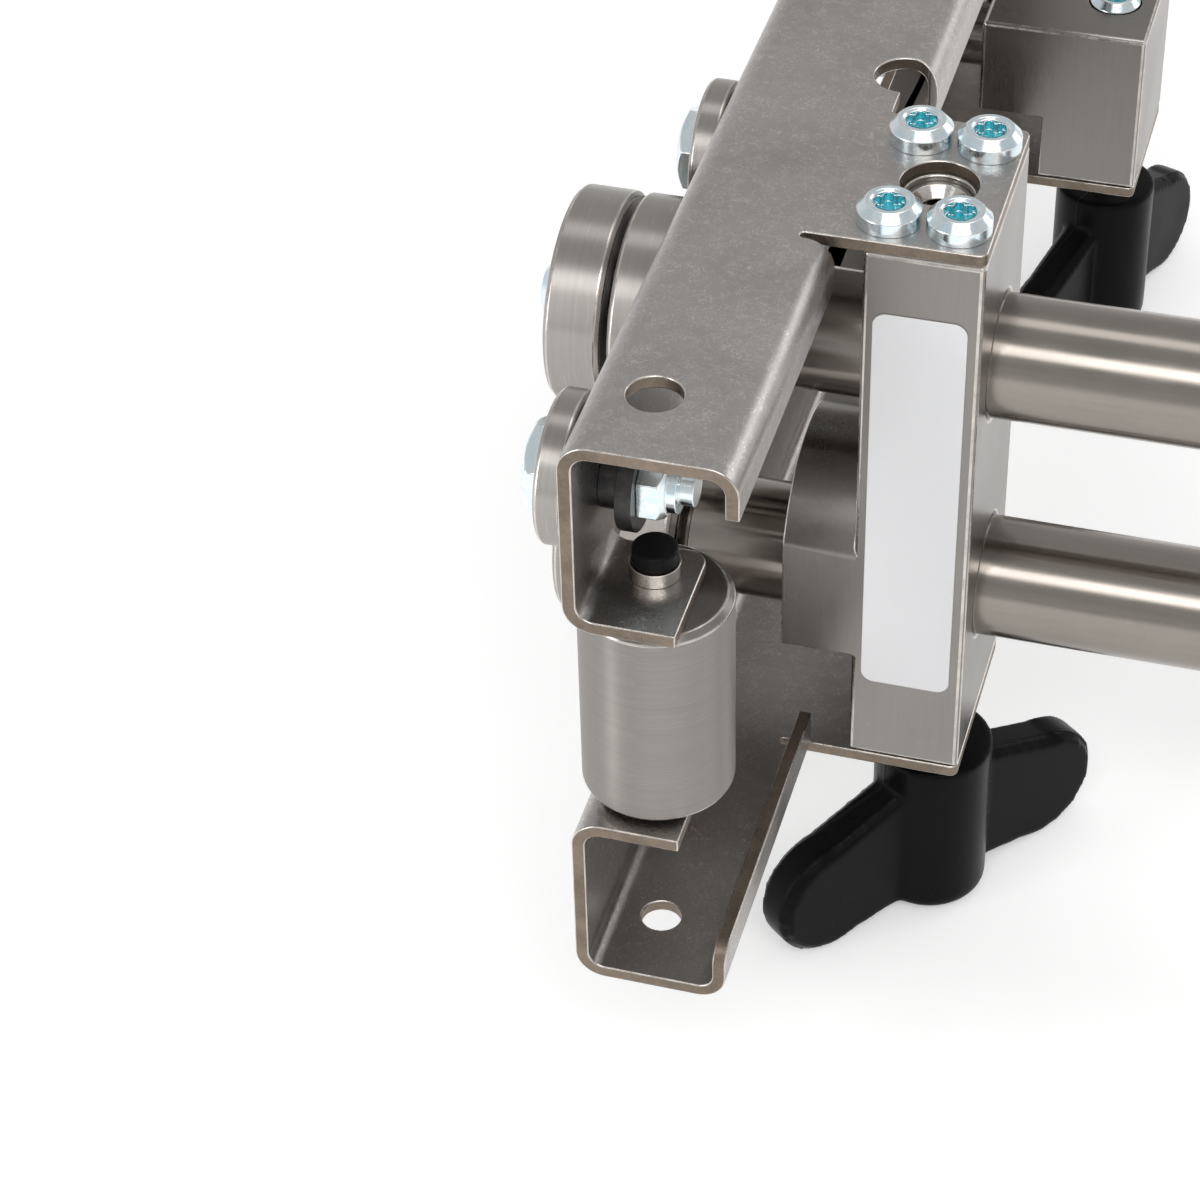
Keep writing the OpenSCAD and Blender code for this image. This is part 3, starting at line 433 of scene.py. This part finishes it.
def mark_cut_edges(shape, wall=3.3, skin=0.01):
    """Faces with more steel behind them than the sheet is thick are cut edges."""
    tree = BVHTree.FromBMesh(shape)
    for face in shape.faces:
        start = face.calc_center_median() - face.normal * skin * MM
        depth = tree.ray_cast(start, -face.normal, 1.0)[3]
        if depth is None or depth > wall * MM:
            face.material_index = MARK_SLOT


def islands(shape):
    """The separate solids in a mesh, as lists of faces."""
    left, groups = set(shape.faces), []
    while left:
        group, front = [], [left.pop()]
        while front:
            face = front.pop()
            group.append(face)
            for edge in face.edges:
                for other in edge.link_faces:
                    if other in left:
                        left.discard(other)
                        front.append(other)
        groups.append(group)
    return groups


def mark_recess(axis, ways, radius=3.62, skin=0.05, depth=3.4):
    """Marks the driver recess in each screw's head, which takes the painted shade. ways gives the heads'
    directions.
    """
    def marks(shape):
        k = "xyz".index(axis)
        sides = [i for i in range(3) if i != k]
        for group in islands(shape):
            spots = [v.co for face in group for v in face.verts]
            low = [min(p[i] for p in spots) for i in range(3)]
            high = [max(p[i] for p in spots) for i in range(3)]
            middle = [(a + b) / 2 for a, b in zip(low, high)]
            for way in ways:
                top = high[k] if way > 0 else low[k]
                for face in group:
                    c = face.calc_center_median()
                    reach = math.hypot(*(c[i] - middle[i] for i in sides))
                    below = (top - c[k]) * way
                    if reach < radius * MM and skin * MM < below < depth * MM:
                        face.material_index = MARK_SLOT
    return marks


def mark_shields(shape, race=2.2, slope=0.15, sink=0.6):
    """Sinks a shield between the two races on both faces of each bearing."""
    flatten(shape)
    across_axis = 0.99
    ends = [face for face in shape.faces if abs(face.normal.x) > across_axis]
    bmesh.ops.inset_region(shape, faces=ends, thickness=race * MM, use_even_offset=True)
    inner = [face for face in ends if face.is_valid]
    bmesh.ops.inset_region(shape, faces=inner, thickness=slope * MM, depth=-sink * MM, use_even_offset=True)
    for face in inner:
        face.material_index = MARK_SLOT


# Sheet rails
for rail in ("top_rail", "bottom_rail"):
    dressed(rail, [rail_steel, painted_highlight_rim, cut_edge], 0.3, mark_cut_edges)

# Blocks
for block in ("front_block", "rear_block", "end_block"):
    dressed(block, [block_steel, painted_highlight_rim], 0.35)
dressed("label_plate", [label_film], 0.12)

# Screws, nuts and bolts
for node, axis, ways, edge in (
    ("tab_screws", "z", (1,), 0.14),
    ("rear_clamp_screw", "z", (1,), 0.14),
    ("bottom_tab_screws", "z", (-1,), 0.15),
    ("post_screws", "z", (1, -1), 0.2),
    ("axle_screws", "x", (-1,), 0.2),
    ("rear_rod_screw", "x", (-1,), 0.2),
):
    dressed(node, [zinc, zinc_painted_highlight_rim, zinc_recess_painted_shade], edge, mark_recess(axis, ways))
for node in ("guide_bolts", "guide_nuts", "axle_washers"):
    dressed(node, [zinc, zinc_painted_highlight_rim], 0.2)

# Pins, bushes, spacers and pads
for node in ("clamp_bush", "near_roller_pin", "far_roller_pin", "guide_sleeves",
             "front_knob_screw", "rear_knob_screw", "end_knob_screw"):
    dressed(node, [pin_steel, painted_highlight_rim], 0.15)
for node in ("clamp_grub_screw", "pin_clips", "guide_washers", "guide_spacers", "axle_spacers"):
    dressed(node, [dark_steel], 0.12)
for node in ("clamp_top_pad", "front_pad", "end_pad"):
    dressed(node, [brass], 0.12)
for node in ("near_roller_bushes", "far_roller_bushes"):
    dressed(node, [bronze], 0.12)
dressed("pin_caps", [cap_plastic], 0.3, segments=3)
dressed("tube_end_caps", [cap_plastic], 0.5, segments=3)

# Tubes, axles, rod and post
for node in ("upper_tube", "lower_tube"):
    dressed(node, [tube_steel, painted_highlight_rim], 0.3)
for node in ("upper_axle", "lower_axle", "rear_rod"):
    dressed(node, [tube_steel, painted_highlight_rim], 0.2)
dressed("rear_post", [tube_steel, painted_highlight_rim], 0.25)

# Turned rollers and discs, each with rings round its own axis
turned = {
    "z": ("near_roller", "far_roller"),
    "x": ("rear_roller", "guide_disc_1", "guide_disc_2", "guide_disc_3", "guide_disc_4",
          "upper_outer_disc", "upper_inner_disc", "lower_outer_disc", "lower_inner_disc"),
}
for axis, nodes in turned.items():
    for node in nodes:
        low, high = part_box(node)
        steel = turned_finish("turned_" + node, TURNED_LIT_AND_SHADED_COLOURS[axis], (low + high) / 2, axis)
        dressed(node, [steel, painted_highlight_rim], 0.3)
for node in ("upper_disc_bearings", "lower_disc_bearings"):
    dressed(node, [bearing_steel, painted_highlight_rim, shield_steel], 0.3, mark_shields)


# Wing knobs
def knob(node, rim=1.6, voxel=0.7, smoothing=9, sharp=50, flat=60):
    """The moulded knob: rounded rims, and soft fillets between hub and wings."""
    shape = copy_of(node)
    low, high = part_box(node)
    centre = (low + high) / 2
    tip = max((v.co for v in shape.verts), key=lambda p: math.hypot(p.x - centre.x, p.y - centre.y))
    turn = math.atan2(tip.y - centre.y, tip.x - centre.x)
    flatten(shape)
    soften(shape, flat)
    plastic = moulded_finish(node + "_plastic", KNOB_BLACK, 0.3, 0.35, centre, turn)
    piece = piece_from(shape, node + ".moulded", node, [plastic])
    rims = piece.modifiers.new("rounded rims", "BEVEL")
    rims.width = rim * MM
    rims.segments = 4
    rims.limit_method = "ANGLE"
    rims.angle_limit = math.radians(sharp)
    skin = piece.modifiers.new("one skin", "REMESH")
    skin.mode = "VOXEL"
    skin.voxel_size = voxel * MM
    skin.use_smooth_shade = True
    soft = piece.modifiers.new("soft fillets", "SMOOTH")
    soft.factor = 0.5
    soft.iterations = smoothing


for node in ("front_knob", "rear_knob", "end_knob"):
    knob(node)


# Floor, light and camera

FLOOR_REACH = 4.0
FLOOR_PAINT = (0.86, 0.86, 0.86, 1)
FLOOR_GLOW = 0.34
HORIZON_LEVEL = 0.7
OVERHEAD_LEVEL = 0.56
WHITE = (1, 1, 1, 1)


def floor():
    """A plain pale floor, which keeps the shadow."""
    shape = bmesh.new()
    bmesh.ops.create_grid(shape, x_segments=1, y_segments=1, size=FLOOR_REACH)
    mesh = bpy.data.meshes.new("floor")
    shape.to_mesh(mesh)
    shape.free()
    plane = bpy.data.objects.new("floor", mesh)
    bpy.context.scene.collection.objects.link(plane)
    finish = bpy.data.materials.new("pale_floor")
    finish.use_nodes = True
    tree = finish.node_tree
    tree.nodes.clear()
    ray = add(tree, "LightPath").outputs
    seen = sum_of(tree, "ADD", ray["Is Camera Ray"],
                  sum_of(tree, "ADD", ray["Is Glossy Ray"], ray["Is Transmission Ray"]), clamp=True)
    paint = add(tree, "BsdfDiffuse", {"Color": FLOOR_PAINT}).outputs[0]
    strength = sum_of(tree, "MULTIPLY", seen, FLOOR_GLOW)
    glow = add(tree, "Emission", {"Color": WHITE, "Strength": strength}).outputs[0]
    both = add(tree, "AddShader", {0: paint, 1: glow}).outputs[0]
    add(tree, "OutputMaterial", {"Surface": both})
    mesh.materials.append(finish)


def room_light():
    """Pale light from all round, weaker overhead."""
    world = bpy.data.worlds.new("pale room")
    bpy.context.scene.world = world
    world.use_nodes = True
    tree = world.node_tree
    tree.nodes.clear()
    height = add(tree, "SeparateXYZ", {0: add(tree, "TexCoord").outputs["Generated"]}).outputs[2]
    level = between(tree, height, 0.1, 0.55, HORIZON_LEVEL, OVERHEAD_LEVEL, smooth=True)
    sky = add(tree, "Background", {"Color": WHITE, "Strength": level}).outputs[0]
    add(tree, "OutputWorld", {"Surface": sky})


def softbox(name, place, aim, width, height, level):
    """A soft lamp of a given brightness, aimed at a point."""
    lamp = bpy.data.lights.new(name, "AREA")
    lamp.shape = "RECTANGLE"
    lamp.size = width
    lamp.size_y = height
    lamp.energy = level * math.pi * width * height
    box = bpy.data.objects.new(name, lamp)
    bpy.context.scene.collection.objects.link(box)
    place, aim = Vector(place), Vector(aim)
    box.matrix_world = Matrix.LocRotScale(place, (aim - place).to_track_quat("-Z", "Y"), None)
    box.visible_camera = False


def photo_camera():
    """The photograph's viewpoint, from the front block's corner, and the directions of its frame."""
    lens = bpy.data.cameras.new("photo view")
    lens.sensor_width = 36
    lens.lens = 103.5
    lens.clip_start = 0.05
    lens.clip_end = 20
    camera = bpy.data.objects.new("photo view", lens)
    bpy.context.scene.collection.objects.link(camera)
    right = Vector((0.960211, 0.278211, -0.024349))
    up = Vector((-0.163695, 0.631318, 0.758051))
    back = Vector((0.22627, -0.723903, 0.651741))
    low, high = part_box("front_block")
    from_corner = Vector((95.91, -581.64, 414.98)) * MM
    place = Vector((high.x, low.y, high.z)) + from_corner
    turn = Matrix((right, up, back)).transposed()
    camera.matrix_world = Matrix.LocRotScale(place, turn.to_quaternion(), None)
    bpy.context.scene.camera = camera


floor()
room_light()
softbox("overhead box", (0.0, 0.2, 1.5), (0, 0, 0.1), width=1.0, height=0.4, level=1.6)
softbox("rear right box", (1.0, 1.1, 0.7), (0, 0, 0.12), width=0.8, height=0.5, level=2.2)
softbox("front left box", (-1.0, -1.0, 0.5), (-0.18, -0.15, 0.12), width=0.28, height=0.9, level=5.0)
softbox("front box", (0.3, -1.35, 1.6), (0.05, 0, 0.12), width=1.5, height=0.6, level=4.6)
photo_camera()
bpy.context.scene.view_settings.view_transform = "Standard"
